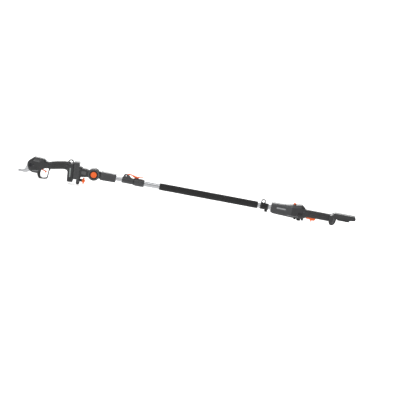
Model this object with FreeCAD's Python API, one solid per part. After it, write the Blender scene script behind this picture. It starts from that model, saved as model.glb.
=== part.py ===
import FreeCAD, Part
import math
import os

# Telescopic pole pruner: battery secateurs on a rail adapter, an indexed angle joint, a two-stage pole with a cam
# clamp, and a rear control grip with an empty battery bay. Millimetres. +X runs along the pole towards the user,
# +Z is up with the triggers below, Y = 0 is the middle plane. Heights are measured from the pole's axis until export.

V = FreeCAD.Vector

# Whole tool: tip to battery bay, and the lowest point of the finger guard below the pole's axis
LENGTH = 1812.0
LOWEST = -74.0

# Pole
INNER_TUBE_R = 12.25
INNER_TUBE_WALL = 1.5
INNER_TUBE_X = (474.0, 1285.0)
OUTER_TUBE_R = 14.0
OUTER_TUBE_WALL = 1.0
OUTER_TUBE_X = (623.0, 1440.0)
GUIDE_BUSH_LENGTH = 32.0
FOAM_R = 18.4
FOAM_X = (760.0, 1289.0)
FOAM_END_ROUND = 3.0

# Telescope clamp
CLAMP_X = (558.0, 622.0)
CLAMP_R = 16.6
COLLAR_X = (622.0, 677.0)
COLLAR_R = 19.7
LEVER_PIN = (577.0, 26.0)
LEVER_PIN_R = 3.0
EAR_HALF_WIDTH = 9.5
CAM_SLOT_HALF_WIDTH = 4.0
CAM_R = 6.2
CAM_OFFSET = 1.0
PADDLE_X = (604.0, 680.0)

# Angle joint
HUB_X = 407.0
HUB_R = 31.5
HUB_DEPTH = 20.5
HUB_PARTING = 0.3
HUB_SPIGOT_R = 22.0
BUTTON_R = 16.0
GEAR_TEETH = 24
GEAR_R = (12.0, 14.0)
HUB_AXLE_R = 4.0

# Coupling sleeve
SLEEVE_X = (443.0, 525.0)

# Adapter and pruner foot share a frame that leans with the rail face
RAIL_FACE = (297.5, 0.0)
RAIL_LEAN = 5.0
RAIL_GAP = 1.5
FOOT_DEPTH = 31.0
FOOT_HALF_WIDTH = 32.0
FOOT_Z = (-60.0, 41.0)
ADAPTER_Z = (-44.0, 50.0)
ADAPTER_HALF_WIDTH = 31.0
ADAPTER_DEPTH = (8.5, 31.0)
INDICATOR = ((-20.0, -13.0), (-31.0, 18.0))
INDICATOR_SEAT = 1.5
INDICATOR_PROUD = 0.4
RAIL_Z = (-42.0, 29.5)
KNOB_Z = -45.0

# Pruner
BLADE_PIVOT = (68.5, -9.0)
BLADE_BOLT_R = 4.0
BLADE_THICKNESS = 3.2
BLADE_OPENING = 34.0
DRIVE_Z = 5.0
DRIVE_PIN_R = 2.0
DRIVE_SCREW_R = 3.0
MOTOR_R = 12.0
NOSE_SPLIT_X = 70.0
PRUNER_TRIGGER_PIVOT = (131.0, -22.0)

# Rear control unit
REAR_TRIGGER_PIVOT = (1559.0, -11.0)
LOCK_BUTTON_X = (1476.0, 1488.0)
LOCK_BUTTON_TOP = 47.0
BAY_HALF_WIDTH = 30.0

# Harness collar
HARNESS_X = (1302.0, 1346.0)
HARNESS_R = 17.3
HARNESS_EYE = (1316.5, 25.0)
HARNESS_EYE_R = 7.4
HARNESS_SCREW_X = 1336.0

# Walls, clearances and fits
SHELL_WALL = 2.6
SKIN = 2.0
TIGHT = 0.05
LOOSE = 0.3
SCREW_SHANK_R = 1.5
SCREW_HEAD_R = 3.2
TRUNNION_R = 1.5
BIG = 400.0

# Octagonal stations of each housing: x, lowest z, highest z, half width, corner cut
HEAD_STATIONS = (
    (49.5, -11.0, 0.0, 11.0, 4.0), (54.0, -23.0, 8.0, 16.0, 7.0), (60.0, -34.0, 15.0, 20.0, 9.0),
    (70.0, -42.5, 23.0, 23.0, 11.0), (84.0, -48.5, 36.0, 24.0, 13.0), (110.0, -48.0, 35.0, 24.0, 13.0),
    (124.0, -37.0, 34.0, 23.5, 12.0), (134.0, -22.0, 33.0, 22.5, 11.0), (148.0, -15.0, 22.5, 19.5, 8.0),
    (160.0, -14.0, 21.0, 18.0, 8.0),
)
# Rounded stations of the two grips: x, lowest z, highest z, half width
PRUNER_GRIP_STATIONS = (
    (152.0, -14.0, 21.0, 17.5), (166.0, -14.5, 23.0, 17.0), (180.0, -14.5, 27.0, 17.5), (200.0, -10.5, 32.0, 18.0),
    (220.0, -6.5, 36.0, 18.0), (240.0, -2.5, 40.0, 18.0), (252.0, -2.0, 41.5, 19.0), (261.0, -5.5, 42.5, 21.0),
    (268.0, -14.0, 43.0, 24.0), (275.0, -28.0, 43.0, 26.0),
)
REAR_STATIONS = (
    (1360.0, -21.0, 26.5, 19.0, 7.0), (1372.0, -26.5, 28.0, 22.0, 8.0), (1400.0, -28.0, 28.5, 23.5, 9.0),
    (1440.0, -29.0, 31.0, 25.0, 10.0), (1472.0, -30.5, 37.0, 27.0, 12.0), (1500.0, -30.5, 41.5, 28.0, 14.0),
    (1519.0, -29.5, 44.0, 27.0, 14.0), (1533.0, -27.0, 36.0, 24.0, 11.0), (1545.0, -21.0, 23.5, 19.5, 8.0),
    (1556.0, -16.0, 23.5, 17.0, 8.0),
)
REAR_GRIP_STATIONS = ((1550.0, -16.0, 23.5, 17.0), (1600.0, -15.5, 23.5, 17.0), (1680.0, -15.5, 23.0, 17.0))
NECK_STATIONS = (
    (320.0, -56.0, 30.0, 26.0, 9.0), (333.0, -54.0, 27.0, 22.0, 8.0), (342.0, -25.0, 23.0, 20.0, 7.0),
    (370.0, -21.5, 21.5, 19.5, 7.0),
)
SLEEVE_STATIONS = (
    (SLEEVE_X[0], -20.0, 20.0, 17.5, 6.0), (SLEEVE_X[0] + 4, -22.5, 22.5, 20.0, 7.0),
    (SLEEVE_X[1] - 3, -21.0, 21.0, 19.0, 7.0), (SLEEVE_X[1], -19.0, 19.0, 17.0, 6.0),
)

# Screws through the shells: x, z, and how far out the surface lies; and through the adapter: y, z on the rail face
PRUNER_SCREWS = ((85.0, -10.0, 24.0), (118.0, 22.0, 23.8), (259.0, 20.0, 20.3), (205.0, 11.0, 18.0))
ADAPTER_SCREWS = ((-24.0, 43.0), (24.0, 43.0), (-25.0, 2.0), (25.0, 2.0))
SLEEVE_SCREWS = (456.0, 500.0)
SLEEVE_SURFACE = 19.6
REAR_SCREWS = (
    (1384.0, -20.0, 22.7), (1457.0, 24.0, 25.6), (1500.0, -12.0, 28.0), (1536.0, 12.0, 23.2), (1694.0, 10.0, 30.0),
)

# Side outlines as stretches of (x, z) points: a stretch of two points is straight, and a longer one is a smooth curve
GUARD = (
    ((109, -44), (110, -52), (113, -60), (118, -67.5), (123, -72.5), (131, -74), (150, -71.5), (160, -70),
     (166, -67), (169.5, -58), (170, -45), (172, -26), (176, -17), (184, -8)),
    ((184, -8), (166, -8)),
    ((166, -8), (166.5, -22), (165.5, -35), (164.5, -50), (163, -60), (159, -65), (150, -66.8), (137, -68),
     (130, -64), (127, -55), (126, -45), (128, -34), (130, -26)),
    ((130, -26), (124, -26)),
    ((124, -26), (109, -44)),
)
LOOP_OUTER = (
    ((-33, 36), (-31.5, 48), (-26, 55), (-17, 57.7), (-9, 56), (-4.5, 51), (-3, 44), (-3, 36)), ((-3, 36), (-33, 36)),
)
LOOP_INNER = (
    ((-28, 30), (-27, 45), (-23, 51), (-16.5, 53.2), (-11, 52), (-8, 48), (-7.5, 42), (-7.5, 30)),
    ((-7.5, 30), (-28, 30)),
)
PRUNER_TRIGGER = (
    ((127, -20), (128, -25.5), (133, -28.5), (143, -31.5), (149, -35), (151.5, -38.7), (155, -39.5), (158, -37),
     (157.5, -32), (152, -29), (143, -27), (136, -23), (134.5, -19)),
    ((134.5, -19), (130, -17.8)),
    ((130, -17.8), (127, -20)),
)
REAR_TRIGGER = (
    ((1560, -6.5), (1553, -8)),
    ((1553, -8), (1551, -14), (1552.5, -21), (1560, -24), (1571, -23.5), (1575.3, -27), (1577, -36)),
    ((1577, -36), (1578.8, -37.5), (1581, -36)),
    ((1581, -36), (1583, -29), (1590, -27.8), (1597, -27), (1602.5, -21), (1603, -13), (1598, -9)),
    ((1598, -9), (1575, -7)),
    ((1575, -7), (1560, -6.5)),
)
CLAMP_EARS = (
    ((560, 8), (561, 16), (566, 28), (571, 32.5), (579, 33.5), (586, 30.5), (595, 25), (604, 17), (620, 8)),
    ((620, 8), (560, 8)),
)
LEVER_ARM = (
    ((577, 30.5), (583, 34.5), (592, 36.5), (602, 36), (616, 33), (630, 30), (640, 29.3), (655, 31.5), (668, 34)),
    ((668, 34), (669, 32)),
    ((669, 32), (655, 29), (646, 25.5), (640, 21.3), (630, 20.8), (618, 24.5), (606, 30), (594, 31.5), (583, 25)),
    ((583, 25), (577, 30.5)),
)
BAY = (
    ((1673, -14), (1676, -24), (1684, -31), (1692, -31.5), (1701, -26), (1707, -14), (1710, 0), (1711, 9)),
    ((1711, 9), (1779, 9)),
    ((1779, 9), (1786, 12)),
    ((1786, 12), (1804, 14.5)),
    ((1804, 14.5), (1810, 18), (1812, 23), (1810, 29), (1804, 33.3), (1796, 35)),
    ((1796, 35), (1704, 35)),
    ((1704, 35), (1694, 32), (1686, 24.5), (1673, 22)),
    ((1673, 22), (1673, -14)),
)

parts = {}


# ---- geometry helpers -------------------------------------------------------------------------------------------

def block(x, y, z):
    """A box from three (low, high) ranges."""
    return Part.makeBox(x[1] - x[0], y[1] - y[0], z[1] - z[0], V(x[0], y[0], z[0]))


def rod(radius, start, end):
    """A round bar between two points."""
    start, end = V(*start), V(*end)
    return Part.makeCylinder(radius, (end - start).Length, start, end - start)


def pipe(outer, inner, start, end):
    return rod(outer, start, end).cut(rod(inner, start, end))


def cross_rod(radius, centre, y):
    """A round bar across the tool, centred on an (x, z) point."""
    return rod(radius, (centre[0], y[0], centre[1]), (centre[0], y[1], centre[1]))


def plate(outline, y):
    """An outline of (x, z) points, given its thickness in Y."""
    points = [V(x, y[0], z) for x, z in outline]
    return Part.Face(Part.makePolygon(points + points[:1])).extrude(V(0, y[1] - y[0], 0))


def curve(points, y):
    """A smooth edge through (x, z) points at one y."""
    spline = Part.BSplineCurve()
    spline.interpolate([V(x, y, z) for x, z in points])
    return spline.toShape()


def profile(stretches, y):
    """A side outline made of straight and curved stretches, given its thickness in Y."""
    edges = []
    for points in stretches:
        if len(points) == 2:
            edges.append(Part.makeLine(*[V(x, y[0], z) for x, z in points]))
        else:
            edges.append(curve(points, y[0]))
    return Part.Face(Part.Wire(edges)).extrude(V(0, y[1] - y[0], 0))


def leaf(first_edge, second_edge, y):
    """A blade between two smooth edges that share both ends."""
    face = Part.Face(Part.Wire([curve(first_edge, y[0]), curve(second_edge, y[0])]))
    return face.extrude(V(0, y[1] - y[0], 0))


def octagon(x, low, high, half_width, cut):
    """A section across X whose corners are cut off."""
    side, top = half_width, half_width - 0.75 * cut
    quarter = [(side, high - cut), (top, high), (-top, high), (-side, high - cut)]
    points = [V(x, y, z) for y, z in quarter + [(-side, low + cut), (-top, low), (top, low), (side, low + cut)]]
    return Part.makePolygon(points + points[:1])


def rounded_section(x, low, high, half_width, roundness=0.8):
    """A section across X with large round corners."""
    radius = roundness * min(half_width, (high - low) / 2)
    diagonal = radius * math.sqrt(0.5)
    edges = []
    corners = ((1, 1), (-1, 1), (-1, -1), (1, -1))
    ends = []
    for sy, sz in corners:
        cy = sy * (half_width - radius)
        cz = (high - radius) if sz > 0 else (low + radius)
        on_side, on_top = V(x, cy + sy * radius, cz), V(x, cy, cz + sz * radius)
        middle = V(x, cy + sy * diagonal, cz + sz * diagonal)
        first, last = (on_side, on_top) if sy * sz > 0 else (on_top, on_side)
        ends.append((first, last))
        edges.append(Part.Arc(first, middle, last).toShape())
    for i in range(4):
        edges.insert(2 * i + 1, Part.makeLine(ends[i][1], ends[(i + 1) % 4][0]))
    return Part.Wire(edges)


def housing(stations, inset=0.0):
    """A faceted hull through octagonal stations, or its inside when inset by a wall."""
    sections = [octagon(x, low + inset, high - inset, width - inset, cut) for x, low, high, width, cut in stations]
    return Part.makeLoft(sections, True, True)


def grip(stations, inset=0.0):
    """A rounded hull through grip stations, or its inside when inset by a wall."""
    sections = [rounded_section(x, low + inset, high - inset, width - inset) for x, low, high, width in stations]
    return Part.makeLoft(sections, True, True)


def between(shape, x):
    """The stretch of a shape between two stations."""
    return shape.common(block(x, (-BIG, BIG), (-BIG, BIG)))


def left_half(shape):
    return shape.common(block((-BIG, 5 * BIG), (-BIG, 0), (-BIG, BIG)))


def right_half(shape):
    return shape.common(block((-BIG, 5 * BIG), (0, BIG), (-BIG, BIG)))


def lean(shape):
    """Places a shape drawn square to the rail face onto the leaning rail face."""
    placed = shape.copy()
    placed.Placement = FreeCAD.Placement(V(RAIL_FACE[0], 0, RAIL_FACE[1]), FreeCAD.Rotation(V(0, 1, 0), -RAIL_LEAN))
    return placed


def round_block(x, half_width, z, corner, edge):
    """A block with round corners seen along X and softened edges on its low-X face."""
    shape = block(x, (-half_width, half_width), z)
    along_x = [e for e in shape.Edges if abs(e.tangentAt(e.FirstParameter).x) > 0.99]
    shape = shape.makeFillet(corner, along_x)
    if edge:
        front = [e for e in shape.Edges if e.BoundBox.XMax < x[0] + 0.01]
        shape = shape.makeFillet(edge, front)
    return shape


def spline_gear(radii, teeth, y, centre, grow=0.0):
    """A straight-toothed gear along Y."""
    points = []
    for i in range(teeth * 4):
        radius = radii[1] if i % 4 in (0, 1) else radii[0]
        angle = 2 * math.pi * (i + 0.5) / (teeth * 4)
        points.append((centre[0] + (radius + grow) * math.cos(angle), centre[1] + (radius + grow) * math.sin(angle)))
    return plate(points, y)


def coil(radius, wire_radius, turns, base, axis, length):
    """A compression spring standing on base and reaching length along axis."""
    travel = length - 2 * wire_radius
    helix = Part.makeHelix(travel / turns, travel, radius)
    section = Part.Wire(Part.makeCircle(wire_radius, V(radius, 0, 0), V(0, 1, 0)))
    spring = Part.Wire(helix.Edges).makePipeShell([section], True, True)
    turn = FreeCAD.Rotation(V(0, 0, 1), V(*axis))
    lift = V(*axis).normalize() * wire_radius
    spring.Placement = FreeCAD.Placement(V(*base) + lift, turn)
    return spring


def side_screw(x, z, surface, depth=26.0):
    """A pan-head screw driven in from the -Y side, its head just below the surface."""
    head = rod(SCREW_HEAD_R, (x, -surface + 0.8, z), (x, -surface + 3.2, z))
    socket = rod(1.6, (x, -surface + 0.8, z), (x, -surface + 2.2, z))
    shank = rod(SCREW_SHANK_R, (x, -surface + 3.2, z), (x, -surface + depth, z))
    return head.fuse(shank).cut(socket)


def side_screw_hole(x, z, surface, depth=26.0):
    bore = rod(SCREW_HEAD_R + TIGHT, (x, -surface - 2, z), (x, -surface + 3.2, z))
    return bore.fuse(rod(SCREW_SHANK_R + TIGHT, (x, -surface, z), (x, -surface + depth, z)))


def join(shapes):
    """One shape from several, with the seams between flush faces removed."""
    whole = shapes[0].fuse(list(shapes[1:])) if len(shapes) > 1 else shapes[0]
    return whole.removeSplitter()


# ---- pruner: shells, nose and guard -----------------------------------------------------------------------------

def pruner_outside():
    foot = round_block((-FOOT_DEPTH, -RAIL_GAP), FOOT_HALF_WIDTH, FOOT_Z, 14.0, 6.0)
    return join([housing(HEAD_STATIONS), grip(PRUNER_GRIP_STATIONS), lean(foot)])


def pruner_inside():
    head = between(housing(HEAD_STATIONS, SHELL_WALL), (NOSE_SPLIT_X + SHELL_WALL, 158))
    handle = between(grip(PRUNER_GRIP_STATIONS, SHELL_WALL + SKIN), (155, 272))
    foot = round_block(
        (-FOOT_DEPTH + SHELL_WALL, -10.0), FOOT_HALF_WIDTH - SHELL_WALL,
        (FOOT_Z[0] + SHELL_WALL, FOOT_Z[1] - SHELL_WALL), 11.0, 0,
    )
    ribs = [block((x, x + 3), (-BIG, BIG), (-16, BIG)) for x in (112.0, 160.0)]
    bosses = [rod(SCREW_HEAD_R + 1.6, (x, -BIG, z), (x, BIG, z)) for x, z, _ in PRUNER_SCREWS]
    motor_room = rod(MOTOR_R + TIGHT, (100, 0, DRIVE_Z), (176, 0, DRIVE_Z))
    hollow = head.fuse([handle, lean(foot)])
    return hollow.cut(ribs + bosses).fuse(motor_room)


def build_pruner_shells():
    outside = pruner_outside()
    grip_skin = between(grip(PRUNER_GRIP_STATIONS), (178, 250))
    grip_core = between(grip(PRUNER_GRIP_STATIONS, SKIN), (178, 250))
    parts["pruner_grip_sleeve"] = grip_skin.cut(grip_core.fuse(side_screw_hole(*PRUNER_SCREWS[3])))
    parts["pruner_nose_cap"] = between(outside, (40, NOSE_SPLIT_X)).cut([
        block((40, NOSE_SPLIT_X + 1), (-4.0, 3.8), (-60, 12)),
        block((60.5, NOSE_SPLIT_X + 1), (-8.5, 8.5), (-2.5, 11.5)),
        cross_rod(BLADE_BOLT_R + TIGHT, BLADE_PIVOT, (-30, 30)),
        cross_rod(6.0, BLADE_PIVOT, (-30, -20.5)),
        cross_rod(6.5, BLADE_PIVOT, (20.5, 30)),
    ])
    body = between(outside, (NOSE_SPLIT_X, BIG)).cut(pruner_inside())
    body = body.cut([
        block((NOSE_SPLIT_X - 1, NOSE_SPLIT_X + SHELL_WALL + 1), (-9, 9), (-40, 14)),
        block((NOSE_SPLIT_X - 1, 78), (-4.0, 0.3), (-60, -30)),
        cross_rod(BLADE_BOLT_R + TIGHT, BLADE_PIVOT, (-30, 30)),
        cross_rod(6.0, BLADE_PIVOT, (-30, -20.5)),
        cross_rod(6.5, BLADE_PIVOT, (20.5, 30)),
        block((123.5, 152), (-5.5, 5.5), (-40, -11.5)),
        lean(block((-9.0, 0), (-24.0, 24.0), (FOOT_Z[0] - 1, 35.0))),
        lean(block(INDICATOR[0], (-FOOT_HALF_WIDTH - 1, -FOOT_HALF_WIDTH + INDICATOR_SEAT), INDICATOR[1])),
        cross_rod(TRUNNION_R + TIGHT, PRUNER_TRIGGER_PIVOT, (-12, 12)),
        grip_skin.cut(grip_core),
    ] + [side_screw_hole(*screw) for screw in PRUNER_SCREWS])
    parts["pruner_shell_left"] = left_half(body)
    parts["pruner_shell_right"] = right_half(body)
    parts["pruner_shell_screws"] = Part.makeCompound([side_screw(*screw) for screw in PRUNER_SCREWS])
    guard = profile(GUARD, (-8, 8)).common(block((100, 190), (-8, 8), (LOWEST, 0)))
    guard = guard.cut([outside, block((123, 152), (-6, 6), (-40, 0))])
    parts["finger_guard"] = max(guard.Solids, key=lambda solid: solid.Volume)
    lens = [(low + LOOSE, high - LOOSE) for low, high in INDICATOR]
    lens_y = (-FOOT_HALF_WIDTH - INDICATOR_PROUD, -FOOT_HALF_WIDTH + INDICATOR_SEAT)
    parts["charge_indicator"] = lean(block(lens[0], lens_y, lens[1]))
    loop = lean(profile(LOOP_OUTER, (-6, 6)).cut(profile(LOOP_INNER, (-7, 7)))).cut(outside)
    parts["hanging_loop"] = max(loop.Solids, key=lambda solid: solid.Volume)


# ---- pruner: blades and drive -----------------------------------------------------------------------------------

def build_blades():
    pivot_x, pivot_z = BLADE_PIVOT
    hook_y = (-BLADE_THICKNESS - 0.2, -0.2)
    blade_y = (0.2, BLADE_THICKNESS + 0.2)
    hook_lower = ((66, -48), (56, -54), (42, -57.5), (26, -57), (14, -58), (6, -57))
    hook_upper = ((6, -57), (11, -51), (26, -49.5), (40, -46), (54, -36), (66, -48))
    hook_root = ((57, -29), (58, -2), (77, -2), (77, -40), (66, -47.8), (58, -52), (50, -50))
    hook = join([plate(hook_root, hook_y), leaf(hook_lower, hook_upper, hook_y)])
    parts["hook_blade"] = hook.cut(cross_rod(BLADE_BOLT_R + 0.02, BLADE_PIVOT, (-30, 30)))
    upper_edge = ((0, -48.5), (8, -45), (18, -43.5), (28, -44), (37, -40), (43, -31), (47, -18), (58, -4))
    lower_edge = ((58, -4), (74, -18), (62, -34), (50, -47), (35, -53.5), (18, -53.5), (0, -48.5))
    blade = leaf(upper_edge, lower_edge, blade_y)
    boss = cross_rod(11.0, BLADE_PIVOT, blade_y)
    closed = math.radians(-BLADE_OPENING / 2)
    reach = DRIVE_Z - pivot_z
    pin_x = pivot_x + reach * math.tan(closed)
    tail_end = (pivot_x + (reach + 5.5) * math.sin(closed), pivot_z + (reach + 5.5) * math.cos(closed))
    across = (4.2 * math.cos(closed), -4.2 * math.sin(closed))
    tail = plate((
        (pivot_x - across[0], pivot_z - across[1]), (pivot_x + across[0], pivot_z + across[1]),
        (tail_end[0] + across[0], tail_end[1] + across[1]), (tail_end[0] - across[0], tail_end[1] - across[1]),
    ), blade_y)
    slot = [cross_rod(DRIVE_PIN_R + 0.35, (pin_x + s * math.sin(closed), DRIVE_Z + s * math.cos(closed)), (-5, 5))
            for s in (-1.2, -0.6, 0.0, 0.6)]
    parts["cutting_blade"] = join([blade, boss, tail]).cut(
        slot + [cross_rod(BLADE_BOLT_R + TIGHT, BLADE_PIVOT, (-5, 5))])
    bolt = cross_rod(BLADE_BOLT_R, BLADE_PIVOT, (-21, 21))
    head = cross_rod(5.5, BLADE_PIVOT, (-23.5, -20.5))
    head = head.fuse(bolt).cut(cross_rod(2.4, BLADE_PIVOT, (-24, -21.5)))
    nut = cross_rod(6.0, BLADE_PIVOT, (20.5, 23.5)).cut(cross_rod(BLADE_BOLT_R + TIGHT, BLADE_PIVOT, (20, 25)))
    parts["blade_pivot_bolt"] = Part.makeCompound([head, nut])
    return pin_x


def build_drive(pin_x):
    nut_end = pin_x + 31.0
    nut = block((pin_x - 3.2, nut_end), (-7.0, 7.0), (DRIVE_Z - 5.2, DRIVE_Z + 5.2))
    nut = nut.cut([
        block((pin_x - 5, pin_x + 15), (-4.2, 4.0), (DRIVE_Z - 9, DRIVE_Z + 9)),
        rod(DRIVE_SCREW_R + TIGHT, (pin_x, 0, DRIVE_Z), (nut_end + 1, 0, DRIVE_Z)),
    ])
    parts["drive_nut"] = join([nut, cross_rod(DRIVE_PIN_R, (pin_x, DRIVE_Z), (-6.0, 6.0))])
    parts["drive_screw"] = rod(DRIVE_SCREW_R, (pin_x + 25.5, 0, DRIVE_Z), (112, 0, DRIVE_Z))
    parts["screw_bearing"] = pipe(9.0, DRIVE_SCREW_R + TIGHT, (104.3, 0, DRIVE_Z), (109.5, 0, DRIVE_Z))
    gearbox = rod(MOTOR_R, (110, 0, DRIVE_Z), (129, 0, DRIVE_Z))
    parts["gearbox"] = gearbox.cut(rod(DRIVE_SCREW_R + LOOSE, (109, 0, DRIVE_Z), (113, 0, DRIVE_Z)))
    can = rod(MOTOR_R, (129, 0, DRIVE_Z), (170, 0, DRIVE_Z))
    parts["drive_motor"] = can.fuse(rod(4.0, (170, 0, DRIVE_Z), (174, 0, DRIVE_Z)))
    parts["pruner_control_board"] = block((216, 250), (-11, 11), (14, 16))


def build_pruner_controls():
    lever = profile(PRUNER_TRIGGER, (-4.2, 4.2))
    parts["pruner_trigger"] = join([lever, cross_rod(TRUNNION_R, PRUNER_TRIGGER_PIVOT, (-11, 11))])
    parts["pruner_trigger_spring"] = coil(2.2, 0.4, 5, (140.5, 0, -22.9), (0, 0, 1), 11.0)
    parts["pruner_switch"] = block((102, 121), (-5, 5), (-32, -20))


# ---- rail interface and adapter ---------------------------------------------------------------------------------

def rail(y_side, z, grow=0.0):
    """A T-shaped rail on the rail face: stem, then a wider head that hooks into its slot."""
    y = [sorted((y_side * (17 - half - grow), y_side * (17 + half + grow))) for half in (2.0, 4.0)]
    stem = block((-6.0 - grow, 2.0), y[0], z)
    head = block((-6.0 - grow, -3.6 + grow), y[1], z)
    return stem.fuse(head)


def build_rails():
    rail_block = block((-8.8, -RAIL_GAP), (-23.8, 23.8), (FOOT_Z[0] + 1, 34.8))
    slots = [rail(side, (FOOT_Z[0] - 2, RAIL_Z[1] + 0.5), 0.35) for side in (-1, 1)]
    contact_slot = block((-7.0, 0), (-9.5, 9.5), (FOOT_Z[0] - 2, 27.5))
    parts["pruner_rail_block"] = lean(rail_block.cut(slots + [contact_slot]))
    front = round_block((RAIL_GAP, ADAPTER_DEPTH[0]), ADAPTER_HALF_WIDTH, ADAPTER_Z, 12.0, 0)
    front = join([front] + [rail(side, RAIL_Z) for side in (-1, 1)])
    contact = block((-6.0, RAIL_GAP + 2), (-8.0, 8.0), (4.0, 26.0))
    terminals = [block((-5.5, 0), (y - 0.5, y + 0.5), (3.0, 30.0)) for y in (-4.5, 0.0, 4.5)]
    parts["adapter_front_plate"] = lean(front.cut(block((0, RAIL_GAP + 2), (-8.05, 8.05), (3.95, 26.05))))
    parts["adapter_contacts"] = lean(contact.cut(terminals))


def build_adapter():
    shell = lean(round_block(ADAPTER_DEPTH, ADAPTER_HALF_WIDTH, ADAPTER_Z, 12.0, 0))
    neck = housing(NECK_STATIONS)
    nub = join([cross_rod(9.0, (329.5, -60), (-12, 12)), block((320.5, 338.5), (-12, 12), (-60, -44))])
    boss = rod(7.5, (325, 0, KNOB_Z), (350, 0, KNOB_Z))
    hub_face = cross_rod(HUB_R + 2.5, (HUB_X, 0), (-BIG, BIG))
    front_side = lean(block((-60, ADAPTER_DEPTH[0]), (-100, 100), (-100, 100)))
    hollow = between(housing(NECK_STATIONS, 4.0), (324, 362))
    knob_bore = rod(4.0 + TIGHT, (318, 0, KNOB_Z), (351, 0, KNOB_Z))
    holes = []
    screws = []
    for y, z in ADAPTER_SCREWS:
        head = rod(SCREW_HEAD_R, (ADAPTER_DEPTH[1] - 2.5, y, z), (ADAPTER_DEPTH[1] - 0.3, y, z))
        shank = rod(SCREW_SHANK_R, (4.0, y, z), (ADAPTER_DEPTH[1] - 2.5, y, z))
        socket = rod(1.6, (ADAPTER_DEPTH[1] - 1.6, y, z), (ADAPTER_DEPTH[1], y, z))
        screws.append(lean(head.fuse(shank).cut(socket)))
        holes.append(lean(rod(SCREW_HEAD_R + TIGHT, (ADAPTER_DEPTH[1] - 2.5, y, z), (ADAPTER_DEPTH[1] + 9, y, z))))
        holes.append(lean(rod(SCREW_SHANK_R + TIGHT, (3.9, y, z), (ADAPTER_DEPTH[1], y, z))))
    plate_room = lean(block((ADAPTER_DEPTH[0] - 1, 19.0), (-20, 20), (ADAPTER_Z[0] + 18, ADAPTER_Z[1] - 5)))
    body = join([shell, neck, nub, boss])
    parts["adapter_back_shell"] = body.cut([hub_face, front_side, hollow.cut(boss), plate_room, knob_bore] + holes)
    parts["adapter_front_plate"] = parts["adapter_front_plate"].cut(holes + [knob_bore])
    parts["adapter_screws"] = Part.makeCompound(screws)
    hub = rod(9.0, (350.3, 0, KNOB_Z), (357, 0, KNOB_Z))
    wing = join([
        block((354, 362), (-4.5, 4.5), (KNOB_Z - 12, KNOB_Z + 12)),
        rod(4.5, (354, 0, KNOB_Z + 12), (362, 0, KNOB_Z + 12)),
        rod(4.5, (354, 0, KNOB_Z - 12), (362, 0, KNOB_Z - 12)),
    ])
    crown = rod(6.5, (356, 0, KNOB_Z), (366, 0, KNOB_Z))
    shaft = rod(4.0, (319, 0, KNOB_Z), (352, 0, KNOB_Z))
    parts["adapter_lock_knob"] = join([hub, wing, crown, shaft])


# ---- angle joint ------------------------------------------------------------------------------------------------

def build_angle_joint():
    centre = (HUB_X, 0.0)
    upper_y = (-HUB_DEPTH, -HUB_PARTING)
    lower_y = (HUB_PARTING, HUB_DEPTH)
    upper = cross_rod(HUB_R, centre, upper_y)
    upper_arm = between(housing(((360, -20, 20, 19.4, 7), (HUB_X, -20, 20, 19.4, 7))), (362, HUB_X))
    front_of_gap = block((-BIG, 5 * BIG), (-BIG, -HUB_PARTING), (-BIG, BIG))
    full_width = block((360, HUB_X - HUB_R - 2), (-BIG, BIG), (-BIG, BIG))
    upper_arm = upper_arm.common(front_of_gap.fuse(full_width))
    parts["hub_upper"] = join([upper, upper_arm.cut(parts["adapter_back_shell"])]).cut([
        cross_rod(BUTTON_R + LOOSE, centre, (-HUB_DEPTH - 1, -11.0)),
        cross_rod(8.0 + LOOSE, centre, (-12, 0)),
        cross_rod(GEAR_R[1] + 1.0, centre, (-6.5, 0)),
        cross_rod(HUB_SPIGOT_R + TIGHT, centre, (-4.3, 0)),
    ])
    lower = cross_rod(HUB_R, centre, lower_y)
    lower_arm = block((HUB_X, SLEEVE_X[0]), (HUB_PARTING, 16.5), (-19, 19))
    lower_root = block((HUB_X + HUB_R + 2, SLEEVE_X[0]), (-16.5, 16.5), (-19, 19))
    spigot = cross_rod(HUB_SPIGOT_R, centre, (-4.0, HUB_PARTING + 0.1))
    peg = rod(INNER_TUBE_R - TIGHT, (SLEEVE_X[0] - 1, 0, 0), (472, 0, 0))
    parts["hub_lower"] = join([lower, lower_arm, lower_root, spigot, peg]).cut([
        cross_rod(HUB_SPIGOT_R - 4, centre, (-5, HUB_PARTING)),
        spline_gear(GEAR_R, GEAR_TEETH, (0.0, 10.0), centre, 0.25),
        cross_rod(9.0, centre, (9.9, 15.0)),
        cross_rod(HUB_AXLE_R + 0.02, centre, (14, 30)),
        cross_rod(7.0, centre, (HUB_DEPTH - 3, 30)),
    ])
    parts["hub_axle"] = cross_rod(HUB_AXLE_R, centre, (-8, HUB_DEPTH - 3)).fuse(
        cross_rod(6.5, centre, (HUB_DEPTH - 3, HUB_DEPTH - 0.5)))
    gear = spline_gear(GEAR_R, GEAR_TEETH, (-5.0, 3.0), centre)
    parts["lock_gear"] = gear.cut(cross_rod(HUB_AXLE_R + TIGHT, centre, (-6, 4)))
    face = cross_rod(BUTTON_R, centre, (-25.0, -17.6))
    face = face.makeFillet(1.8, [e for e in face.Edges if e.BoundBox.YMax < -24.9])
    dish = Part.makeSphere(60.0, V(HUB_X, -25.0 - 58.5, 0))
    stem = cross_rod(8.0, centre, (-18, -5.0))
    parts["angle_button"] = join([face.cut(dish), stem]).cut(cross_rod(HUB_AXLE_R + LOOSE, centre, (-14.5, -4)))
    parts["angle_button_spring"] = coil(6.8, 0.7, 5, (HUB_X, 3.0, 0), (0, 1, 0), 12.0)
    parts["hub_back_cap"] = cross_rod(17.0, centre, (HUB_DEPTH, HUB_DEPTH + 2.0))


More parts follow.
